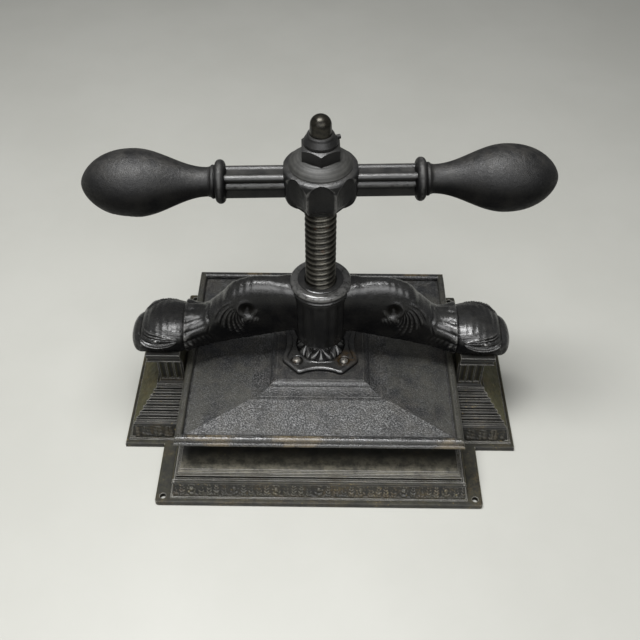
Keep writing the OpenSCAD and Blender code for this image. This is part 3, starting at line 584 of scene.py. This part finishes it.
def carved_iron(name, rough, polish_and_top_light, gloss, dimming, skin, rust_at=None):
    """Black iron with grime in the hollows and grey rubbed crests, driven by the carved relief. Faces that
    look up are greyer, partly from handling and partly as painted light on the tops, by a given share, and
    glossier, up to gloss; steep ones are sooty and duller, down to a given gloss, and so are the hollows.
    Rough is the range of roughness, skin the depth of the cast grain; rust blooms round rust_at, if that is
    given."""
    f = Finish(name)
    height = f.carved()
    cloud = f.noise(45, 6, 0.62)
    fine = f.noise(600, 5, 0.7)
    f.colour = f.mix(f.span(cloud, 0.35, 0.7), (0.0035, 0.0035, 0.0038), (0.009, 0.0087, 0.0082))
    in_hollows = f.times(f.span(height, -0.15, -0.8), f.span(fine, 0.3, 0.6))
    f.lay((0.006, 0.0055, 0.0045), in_hollows, 0.7)
    dust = f.times(f.facing_up(0.55, 0.99), f.span(f.noise(90, 7, 0.7, shift=4), 0.38, 0.66))
    f.lay((0.05, 0.047, 0.041), dust, 0.4)
    # Greyer tops: partly handling wear, partly painted light on the faces that look up.
    handled_and_top_light = f.times(f.facing_up(0.15, 0.95), f.span(f.noise(55, 6, 0.66, shift=6), 0.3, 0.66, 0.35, 1.0))
    handled_and_top_light = f.times(handled_and_top_light, f.span(height, -0.6, -0.05))
    f.lay((0.05, 0.05, 0.049), handled_and_top_light, polish_and_top_light)
    worn = f.times(f.span(height, 0.25, 0.9), f.span(f.noise(230, 5, 0.7, shift=2), 0.32, 0.58))
    f.lay((0.15, 0.148, 0.142), worn, 0.75)
    if rust_at:
        away = f.add("VectorMath", {0: f.place, 1: rust_at}, operation="DISTANCE").outputs["Value"]
        bloom = f.times(f.span(away, 0.016, 0.006), f.span(f.noise(260, 5, 0.7, shift=5), 0.36, 0.6))
        f.lay((0.066, 0.041, 0.017), bloom, 0.75)
    roughness = f.span(f.noise(140, 6, 0.65, shift=1), 0.3, 0.7, *rough)
    grain = f.math("ADD", f.times(f.noise(260, 5, 0.65), 0.9), f.times(f.noise(1500, 3, 0.7), 0.45))
    shine = f.span(f.parts(f.normal)[2], -0.05, 0.72, dimming, gloss)
    return f.done(Roughness=f.math("SUBTRACT", roughness, f.times(worn, 0.08)),
                  Metallic=f.times(worn, 0.15), Normal=f.bump(grain, skin, 0.9),
                  Specular_IOR_Level=f.times(shine, f.span(height, -0.9, -0.15, 0.12, 1.0)))


arm_finish = carved_iron("carved_black_iron", (0.18, 0.31), 0.48, 0.85, dimming=0.025, skin=0.0004)
head_finish = carved_iron("head_black_iron", (0.2, 0.34), 0.5, 0.85, dimming=0.05, skin=0.0003)
barrel_finish = carved_iron("barrel_black_iron", (0.12, 0.24), 0.5, 1.0, dimming=0.25, skin=0.00025)
arms = both_sides(*creature_arm()) + both_sides(*volute())
for name, sheets, finish in (("yoke_arms", arms, arm_finish),
                             ("yoke_heads", both_sides(*creature_head()), head_finish),
                             ("yoke_barrel", [(barrel * mm, barrel_relief, True)], barrel_finish)):
    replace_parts(piece(name, sheets, "frame", finish), "yoke_casting")

# Bolts, washers and cross pins that hold the yoke on the pedestals.
# They are plain dark steel, mostly out of sight below the pedestals and inside the heads.


def dark_steel(name, tint, rust):
    """Old bare steel: grey with oily dark patches, rust freckles and brighter rubbed edges."""
    f = Finish(name)
    soft, edge = f.rubbed_edge(0.0005)
    fine = f.noise(900, 5, 0.7)
    f.colour = f.mix(f.span(f.noise(240, 6), 0.34, 0.66), (0.022, 0.021, 0.019), tint)
    freckle = f.span(f.noise(210, 4, shift=9), 0.54, 0.66)
    f.lay((0.12, 0.052, 0.02), freckle, rust)
    f.lay((0.24, 0.23, 0.21), edge, 0.7)
    return f.done(Roughness=f.span(fine, 0.3, 0.7, 0.3, 0.5), Metallic=0.55,
                  Normal=f.bump(fine, 0.0001, 0.7, soft))


fastener_steel = dark_steel("fastener_steel", (0.07, 0.066, 0.058), 0.5)
for name in ("yoke_bolt", "bolt_washer", "yoke_pin"):
    for hand in ("left", "right"):
        paint(name + "_" + hand, fastener_steel)

# Platen: flat casting with a two-bead rim, four sloping facets, a level top and a raised pad for the screw.
# Its face is pitted all over from old rust, wiped with oil, and still a little brown along the front bead.


def pitted_iron(name):
    """Pitted black iron: fine grain with grey rubbed lands, cloudy oil and a trace of rust. The front and
    back slopes carry a painted sheen, a darker ground with much lighter lands; the side slopes are clouded,
    and the pad, rim and beads are darker."""
    slope_start, pad_half_x, pad_half_y, bead_y, rim_x = 0.071, 0.05, 0.0535, 0.122, 0.1425
    f = Finish(name)
    soft, edge = f.rubbed_edge(0.0008)
    cloud = f.noise(24, 6, 0.6)
    grain = f.noise(720, 6, 0.76)
    pit = f.noise(60, 8, 0.75, shift=13)
    land = f.times(f.span(grain, 0.47, 0.6), f.span(pit, 0.36, 0.56, 0.5, 1.0))
    across, along = (f.math("ABSOLUTE", part) for part in f.parts(f.place)[:2])
    lean_x, lean_y = (f.math("ABSOLUTE", part) for part in f.parts(f.normal)[:2])
    front = f.times(f.span(lean_y, 0.03, 0.06), f.span(along, slope_start, slope_start + 0.003))
    flank = f.times(f.span(lean_x, 0.03, 0.06), f.span(across, slope_start, slope_start + 0.003))
    pad = f.span(across, pad_half_x + 0.0025, pad_half_x)
    pad = f.times(pad, f.span(along, pad_half_y + 0.0025, pad_half_y))
    bead = f.span(along, bead_y, bead_y + 0.0015)
    f.colour = f.mix(f.span(cloud, 0.36, 0.68), (0.009, 0.009, 0.0095), (0.022, 0.022, 0.021))
    oil = f.span(f.noise(20, 7, 0.68, shift=17), 0.38, 0.62)
    f.lay(f.mix(oil, (0.013, 0.0137, 0.0152), (0.047, 0.0465, 0.04)), flank, 0.75)
    # Painted sheen on the front and back slopes: their ground is laid darker, and their lands much lighter
    # than elsewhere.
    f.lay((0.01, 0.01, 0.01), front, 0.75)
    rubbed = f.mix(front, f.mix(pad, (0.066, 0.067, 0.067), (0.015, 0.015, 0.015)), (0.15, 0.152, 0.15))
    f.lay(rubbed, land, f.span(flank, 0.0, 1.0, 0.8, 0.4))
    dust = f.times(f.facing_up(0.9, 0.999), f.span(f.noise(60, 7, 0.7, shift=4), 0.42, 0.7))
    f.lay((0.06, 0.055, 0.044), dust, 0.35)
    f.lay((0.012, 0.012, 0.0115), bead, 0.6)
    rim = f.span(across, rim_x, rim_x + 0.002)
    rim = f.times(rim, f.span(f.noise(70, 6, 0.7, shift=9), 0.3, 0.6, 0.35, 1.0))
    f.lay((0.036, 0.034, 0.022), rim, 0.5)
    brown = f.times(bead, f.span(f.noise(16, 4, 0.6, shift=23), 0.5, 0.62, 0.0, 0.6))
    f.lay((0.13, 0.095, 0.045), brown, f.span(pit, 0.38, 0.56))
    rust = f.times(f.span(f.noise(31, 4, shift=11), 0.55, 0.68), f.span(grain, 0.42, 0.6))
    f.lay((0.15, 0.092, 0.036), rust, f.math("ADD", 0.05, f.times(edge, 0.6)))
    worn = f.times(edge, f.span(f.noise(120, 5, 0.7, shift=2), 0.32, 0.58))
    f.lay((0.21, 0.205, 0.195), worn, 0.8)
    rough = f.math("ADD", f.span(grain, 0.3, 0.7, 0.3, 0.44), f.times(dust, 0.1))
    skin = f.math("ADD", f.times(grain, 0.5), f.noise(620, 2, 0.5, shift=3))
    return f.done(Roughness=f.math("SUBTRACT", rough, f.times(bead, 0.14)), Metallic=f.times(worn, 0.15),
                  Normal=f.bump(skin, 0.0005, 0.9, soft),
                  Specular_IOR_Level=f.span(f.math("MAXIMUM", land, bead), 0.0, 0.85, 0.36, 1.0))


paint("platen", pitted_iron("pitted_black_iron"))

# Plate that keeps the screw's foot on the pad: cut-cornered casting with a rounded bead along its edge.
# Four slotted screws hold it; the front right one has rusted, and has stained the plate round it.

pad_z, hole_r, reach_x, reach_y, screw_out = 84.6, 27.5, 42.5, 46.0, 26.2


def plate_edge(a):
    """Distance from the axis to the plate's edge at angle a: the least of the rectangle, the four cut corners
    and the four hollow sides, each an arc of a circle standing outside the plate."""
    hollow_x_r, hollow_x_far, hollow_y_r, hollow_y_far = 70.0, reach_x + 66, 45.0, reach_y + 38.46
    c, s = np.abs(np.cos(a)), np.abs(np.sin(a))
    box_edge = np.minimum(reach_x / np.maximum(c, tiny), reach_y / np.maximum(s, tiny))
    cut = (reach_y + 0.55 * reach_x) / (c + s)
    hollow = [far * k - np.sqrt(np.maximum(r ** 2 - (far * o) ** 2, 0)) + 1e3 * (r < far * o)
              for far, r, k, o in ((hollow_x_far, hollow_x_r, c, s), (hollow_y_far, hollow_y_r, s, c))]
    return np.minimum(np.minimum(box_edge, cut), np.minimum(*hollow))


def beaded_plate():
    """Plate in polar form: rows run up the round hole, out over the flat and over the bead to the edge.
    The bead is half an ellipse of height against distance from the edge; the flat rises to a lip at the hole
    and sinks in a ring round each screw."""
    around, flat_rows, bead_rows = 480, 40, 24
    flat_rise, bead_rise, bead_half, lip_rise, edge_rise = 2.1, 2.7, 3.6, 0.6, 1.0
    cup_r, cup_cut, undercut = 5.9, 1.6, 0.3
    a = np.arange(around) / around * 2 * np.pi
    edge = plate_edge(a)
    edge = np.mean([np.roll(edge, k) for k in range(-5, 6)], axis=0)
    from_edge = bead_half + bead_half * np.cos(np.linspace(0, np.pi, bead_rows))
    bead_z = flat_rise + bead_rise * np.sin(np.linspace(0.1, np.pi, bead_rows)) ** 0.8
    flat = np.linspace(0, 1, flat_rows)[:, None]
    lip = flat_rise + lip_rise * hill(flat - 0.1, 0.16) + 0 * a
    rise = np.vstack([0 * a, lip, bead_z[:, None] + 0 * a, edge_rise + 0 * a, 0 * a])
    inner = hole_r + (edge - 2 * bead_half - 0.2 - hole_r) * flat
    r = np.vstack([hole_r + 0 * a, inner, edge - from_edge[:, None], edge, edge - undercut])
    x, y = r * np.cos(a), r * np.sin(a)
    cup = hill(np.hypot(np.abs(x) - screw_out, np.abs(y) - screw_out) - cup_r, 1.0)
    rise = np.maximum(rise - cup_cut * cup, 0)
    return np.stack([x, y, pad_z + rise], -1) * mm, 0.1 - cup, True


plate_finish = carved_iron("plate_black_iron", (0.24, 0.36), 0.4, 0.75, dimming=0.25, skin=0.0002,
                           rust_at=(0.028, -0.022, 0.087))
plate = piece("retaining_plate_beaded", [beaded_plate()], "platen", plate_finish)
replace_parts(plate, "retaining_plate")
worn_steel = (0.2, 0.19, 0.17)
for name, rust in (("front_left", 0.3), ("front_right", 1.0), ("back_left", 0.3), ("back_right", 0.3)):
    paint("plate_screw_" + name, dark_steel("plate_screw_steel_" + name, worn_steel, rust))

# Screw: turned steel bar with a rounded right-hand thread and a domed stud, dark with old oil.
# Wear has left the crests of the thread bright, and brown-green oil lies in its roots.

thread_z, thread_pitch, thread_depth = 96.6, 7.0, 2.6
hub_z, hub_h, lever_turn = 286.6, 46.0, np.radians(2.1)
hub_top = hub_z + hub_h


def threaded_bar():
    """Bar whose radius swells once for each turn of a right-hand helix: the depth below the crest is a raised
    cosine of height over pitch minus the turn. Below the thread is the bare core, above it the stud and its
    dome."""
    around, core_r, square_r, stud_r, dome_r, dome_rise = 72, 12.3, 11.0, 10.3, 9.9, 9.6
    foot_z, stud_shoulder, stud_top = pad_z - 5.8, hub_top + 33.5, hub_top + 52.0
    a = np.arange(around) / around * 2 * np.pi
    z = np.linspace(thread_z, hub_z, 380)[:, None]
    wave = 0.5 - 0.5 * np.cos(2 * np.pi * (z - thread_z) / thread_pitch - a)
    r = screw_r - thread_depth * wave ** 0.8
    tilt = np.radians(np.linspace(0, 88, 14))
    stud_dome = np.stack([dome_r * np.cos(tilt), stud_top - dome_rise + dome_rise * np.sin(tilt)], -1)
    upper = np.vstack([[(square_r, hub_z + 0.4), (square_r, hub_top - 0.5), (stud_r, hub_top - 0.4),
                        (stud_r, stud_shoulder)], stud_dome])
    lower = np.array([(core_r, foot_z), (core_r, thread_z - 0.1)])
    radius = np.vstack([lower[:, :1] + 0 * a, r, upper[:, :1] + 0 * a])
    height = np.vstack([lower[:, 1:] + 0 * a, z + 0 * a, upper[:, 1:] + 0 * a])
    tone = np.vstack([np.zeros((2, around)), 1 - 2 * wave, np.full((len(upper), around), -0.5)])
    b = a + lever_turn
    return np.stack([radius * np.cos(b), radius * np.sin(b), height], -1) * mm, tone, False


def oiled_steel(name):
    """Dark oiled steel: olive-black oil in the roots, brighter olive-grey steel on the rubbed crests."""
    f = Finish(name)
    fine = f.noise(800, 5, 0.7)
    smear = f.noise(120, 5, 0.6, (1, 1, 2.5))
    f.colour = f.mix(f.span(smear, 0.35, 0.65), (0.012, 0.0112, 0.009), (0.03, 0.0275, 0.021))
    crest = f.times(f.span(f.carved(), -0.2, 0.9), f.span(smear, 0.25, 0.6, 0.45, 1.0))
    f.lay((0.125, 0.119, 0.1), crest, 0.8)
    rust = f.span(f.noise(95, 4, shift=6), 0.64, 0.76, 0, 0.35)
    f.lay((0.085, 0.042, 0.02), rust)
    return f.done(Roughness=f.span(fine, 0.3, 0.7, 0.24, 0.42), Metallic=0.7,
                  Normal=f.bump(fine, 0.00008, 0.6))


screw_finish = oiled_steel("oiled_screw_steel")
screw_bar = piece("press_screw_threaded", [threaded_bar()], "screw", screw_finish)
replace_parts(screw_bar, "press_screw")

# Leaf collar at the screw's foot, cast in black iron and keyed on.
# A ring of six palmettes lies on its cone, and its flange turns under the retaining plate.


def leaf_collar():
    """Turned profile, closed round its bore. On the cone the surface rises in six palmettes: their fronds
    fan down from a point at the top, each a ridge where the cosine of a multiple of the fan's angle is near
    one."""
    bore, flange_r, cone_foot, cone_top, cone_rows, around = 12.4, 30.9, 0.4, 12.0, 30, 384
    frond_rise, ground_cut = 2.2, 1.2
    cone = np.array([(26.6, cone_foot), (25.0, 2.8), (22.6, 5.6), (19.6, 8.8), (16.9, cone_top)])
    flange = [(bore, -7), (flange_r - 1.5, -7), (flange_r, -5.5), (flange_r, -0.5), (26.6, -0.4)]
    line = np.vstack([flange, flowing(cone, cone_rows), [(bore, cone_top)]])
    a = np.arange(around) / around * 2 * np.pi
    share = np.zeros((len(line), 1))
    share[len(flange):-1, 0] = np.sin(np.linspace(0.1, np.pi - 0.1, cone_rows)) ** 0.5
    t = np.clip((line[:, 1:] - cone_foot) / (cone_top - cone_foot), 0, 1)
    half_leaf = np.pi / 6
    across = (a + np.pi / 2 + half_leaf) % (2 * half_leaf) - half_leaf
    fan = np.arctan2(24 * across, 15 * (1 - t) + 1.5)
    frond = np.abs(np.cos(4.6 * fan)) ** 0.8
    parting = step(np.abs(across), half_leaf, half_leaf - 0.07)
    height = share * (frond_rise * frond * parting - ground_cut)
    r = line[:, :1] + height * 0.75
    z = line[:, 1:] + height * 0.6
    b = a + lever_turn
    return np.stack([r * np.cos(b), r * np.sin(b), pad_z + z], -1) * mm, np.clip(height / 1.1, -1, 1), True


collar = piece("screw_foot_leaves", [leaf_collar()], "screw", barrel_finish)
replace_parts(collar, "screw_foot")

# Lever: one casting with a fluted eight-sided hub, two grooved bars and two bulbs for the palms.
# Hands have kept it satin smooth; the left bulb has a chipped flat and a small blowhole underneath.

lever_z, hub_r, grip_half = hub_z + 27.6, 36.0, 224.0


def fluted_hub():
    """Hub in polar form: the least of a turned profile and an octagon, less arch-topped scoops.
    A scoop's depth falls off as one minus the square of angle over its half width, which closes as a half
    ellipse towards the arch's crown; there is none where a bar leaves the hub."""
    around, bore, scoop_depth, scoop_half, side_half = 360, 10.0, 5.6, np.radians(22.4), np.pi / 8
    arch_z, arch_h = 0.64 * hub_h, 0.345 * hub_h
    line = flowing(np.array([(0.55, 0), (0.73, 0.07), (0.92, 0.22), (0.99, 0.38), (1.0, 0.6), (1.0, 0.88),
                             (0.965, 0.965), (0.88, 1.0)]) * [hub_r, hub_h], 84)
    a = np.arange(around) / around * 2 * np.pi
    part = (a + side_half) % (2 * side_half) - side_half
    octagon = hub_r * 1.045 * np.cos(side_half) / np.cos(part)
    z = line[:, 1:]
    crown = np.clip((z - arch_z) / arch_h, 0, 1)
    half = scoop_half * np.sqrt(1 - crown ** 2) + tiny
    clear = (np.abs(np.cos(a)) < 0.9) * 1.0
    scoop = scoop_depth * dome(part, half, 0.65) * clear * step(z, 0, 6) * step(crown, 1.0, 0.95)
    arris = 0.8 * clear * hill(np.abs(part) / half - 1, 0.13) * step(z, 5, 12)
    r = np.minimum(line[:, :1], octagon) - scoop
    r = np.vstack([bore + 0 * a, r, 0.88 * hub_r - 3 + 0 * a, bore + 0 * a])
    z = np.vstack([0 * a, z + 0 * a, hub_h + 0 * a, hub_h + 0 * a])
    arris = np.vstack([0 * a, arris, 0 * a, 0 * a])
    return r * np.cos(a), r * np.sin(a), z - (lever_z - hub_z), arris


def beaded_bar(sign):
    """Square bar whose upper edges are worked into two round beads with a quirk between them, one bead lying
    on the top and one on the side; the outline is carried along X."""
    bead_r, bead_points, inner_end, outer_end = 4.3, 10, 26.0, 90.0
    front = np.vstack([(-2.6, 11.0), arc(-6.9, 7.8, bead_r, 50, 170, bead_points),
                       (-10.3, 5.6), arc(-8.1, 1.0, bead_r, 112, 226, bead_points),
                       (-10.6, -3.2), (-11.6, -10.6), (-10.6, -11.6)])
    outline = np.vstack([front, (front * [-1, 1])[::-1]])
    x = sign * np.linspace(inner_end, outer_end, 12)[:, None]
    crest = 0.55 * hill(np.linspace(-1, 1, bead_points), 0.55)
    tone = np.concatenate([[0], crest, [-1], crest, [-0.3, 0, 0.3]])
    tone = np.concatenate([tone, tone[::-1]])[None] + 0 * x
    return x + 0 * outline[:, 0], outline[:, 0] + 0 * x, outline[:, 1] + 0 * x, tone


def bulb(sign):
    """Bulb, neck and bead collar turned about the lever's axis. The bulb's outer end comes to a soft point,
    the radius falling as a power of one minus a power of the distance; its inner flank is an eased curve.
    The left one has a flat, half an ellipsoid deep, and a round hole."""
    around, bulb_r, tip, neck_r, bead_x, bead_r = 112, 32.0, 50.0, 13.75, 94.0, 4.7
    widest, neck, under = grip_half - tip, grip_half * 0.472, np.radians(239)
    chip_x, chip_half, chip_cut = 186.0, 17.0, 1.7
    blowhole_x, blowhole_r, blowhole_cut = 198.0, 2.2, 3.0
    a = np.radians(np.linspace(0, 89, 60))
    outer = np.stack([widest + tip * np.sin(a), bulb_r * (1 - np.sin(a) ** 2.2) ** 0.6], -1)
    t = np.linspace(0, 1, 40)[:-1]
    ease = (1 - np.cos(np.pi * t)) / 2
    inner = np.stack([neck + (widest - neck) * t, neck_r + (bulb_r - neck_r) * ease], -1)
    line = np.vstack([(86.5, 9.0), arc(bead_x, 16.0, bead_r, 196, 4, 22),
                      arc(100.8, 13.5, 2.4, 150, 25, 10), inner, outer])
    w = np.arange(around) / around * 2 * np.pi
    x, r = line[:, :1] + 0 * w, line[:, 1:] + 0 * w
    tone = 0.5 * hill(x - bead_x, 3.0)
    if sign < 0:
        off = (w - under + np.pi) % (2 * np.pi) - np.pi
        chip = dome(np.hypot((x - chip_x) / chip_half, off * 3.0), 1.0)
        hole = hill(np.hypot(x - blowhole_x, off * 25), blowhole_r)
        r = r - chip_cut * chip - blowhole_cut * hole
        tone = tone + 1.2 * chip - 2 * hole
    return sign * x, r * np.cos(w), r * np.sin(w), np.clip(tone, -1, 1)


def on_lever(x, y, z, tone, ring=False):
    """Turns a form built along X about the lever's centre by the lever's angle and lifts it to its height."""
    c, s = np.cos(lever_turn), np.sin(lever_turn)
    return np.stack([c * x - s * y, s * x + c * y, lever_z + z], -1) * mm, tone, ring


bulb_finish = carved_iron("handled_black_iron", (0.36, 0.52), 0.15, 0.42, dimming=0.04, skin=0.0007)
hub_finish = carved_iron("hub_black_iron", (0.28, 0.44), 0.3, 0.75, dimming=0.17, skin=0.0005)
bulbs = [on_lever(*bulb(sign)) for sign in sides]
hub_and_bars = [on_lever(*fluted_hub(), True)] + [on_lever(*beaded_bar(sign)) for sign in sides]
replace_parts(piece("lever_bulbs", bulbs, "screw", bulb_finish), "lever")
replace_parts(piece("lever_hub_and_bars", hub_and_bars, "screw", hub_finish, sharp=38), "lever")

# Domed washer, nut and lock nut that hold the lever down on the screw's square.
# The washer is bare grey iron that still shows its turning; the nuts are black steel, dulled by grease.


def dull_grey(name):
    """Bare grey iron gone dull: cloudy mid grey, broad soft sheen, and turning rings, a sine of the distance
    from the Z axis."""
    ring_rate, waver = 2100.0, 0.0004
    f = Finish(name)
    soft, edge = f.rubbed_edge(0.0006)
    fine = f.noise(700, 5, 0.7)
    level = f.add("Mapping", {"Vector": f.place, "Scale": (1, 1, 0)}).outputs[0]
    away = f.add("VectorMath", {0: level}, operation="LENGTH").outputs["Value"]
    rings = f.math("SINE", f.times(f.math("ADD", away, f.times(fine, waver)), ring_rate))
    cloud = f.noise(90, 6, 0.65)
    f.colour = f.mix(f.span(cloud, 0.34, 0.66), (0.024, 0.024, 0.022), (0.044, 0.0435, 0.04))
    f.lay((0.011, 0.011, 0.01), f.span(rings, -1.0, 0.2, 0.3, 0.0))
    f.lay((0.14, 0.138, 0.13), edge, 0.5)
    return f.done(Roughness=f.span(fine, 0.3, 0.7, 0.48, 0.6),
                  Normal=f.bump(f.math("ADD", fine, f.times(rings, 0.6)), 0.00018, 0.7, soft))


paint("dome_washer", dull_grey("dull_grey_iron"))
nut_steel = carved_iron("nut_black_steel", (0.34, 0.48), 0.25, 0.5, dimming=0.2, skin=0.0003)
for name in ("lever_nut", "lock_nut"):
    paint(name, nut_steel)

# Stage: pale table top, a soft lamp overhead, a wide weak one in front and even room light.
# The camera stands at the photo's viewpoint; none of this belongs to the press.

bpy.ops.mesh.primitive_plane_add(size=8)
floor = bpy.context.object
floor.name = "table_top"
table = Finish("pale_table")
mottle = table.span(table.noise(4, 5), 0.35, 0.65)
table.colour = table.mix(mottle, (0.435, 0.435, 0.4), (0.455, 0.455, 0.42))
floor.data.materials.append(table.done(Roughness=0.45))

for name, place, size, power, tilt in (("soft_box", (-0.25, -0.10, 1.75), (0.85, 0.5), 36.5, 0),
                                       ("wide_fill", (0.1, -1.5, 1.2), (2.4, 1.0), 26, 52)):
    lamp = bpy.data.objects.new(name, bpy.data.lights.new(name, "AREA"))
    lamp.data.shape, lamp.data.size, lamp.data.size_y, lamp.data.energy = "RECTANGLE", *size, power
    lamp.location, lamp.rotation_euler = place, np.radians((tilt, 0, 0))
    bpy.context.scene.collection.objects.link(lamp)
world = bpy.data.worlds.new("room")
world.use_nodes = True
room_light = world.node_tree.nodes["Background"].inputs
room_light["Color"].default_value = (0.95, 0.97, 1.0, 1)
room_light["Strength"].default_value = 0.09
bpy.context.scene.world = world
bpy.context.scene.view_settings.view_transform = "Standard"

viewpoint = bpy.data.objects.new("viewpoint", bpy.data.cameras.new("viewpoint"))
viewpoint.location = (0.0083, -0.640, 0.7879)
viewpoint.rotation_euler = np.radians((44, 0, 0.8))
viewpoint.data.lens, viewpoint.data.sensor_width = 47.0, 36.0
bpy.context.scene.collection.objects.link(viewpoint)
bpy.context.scene.camera = viewpoint
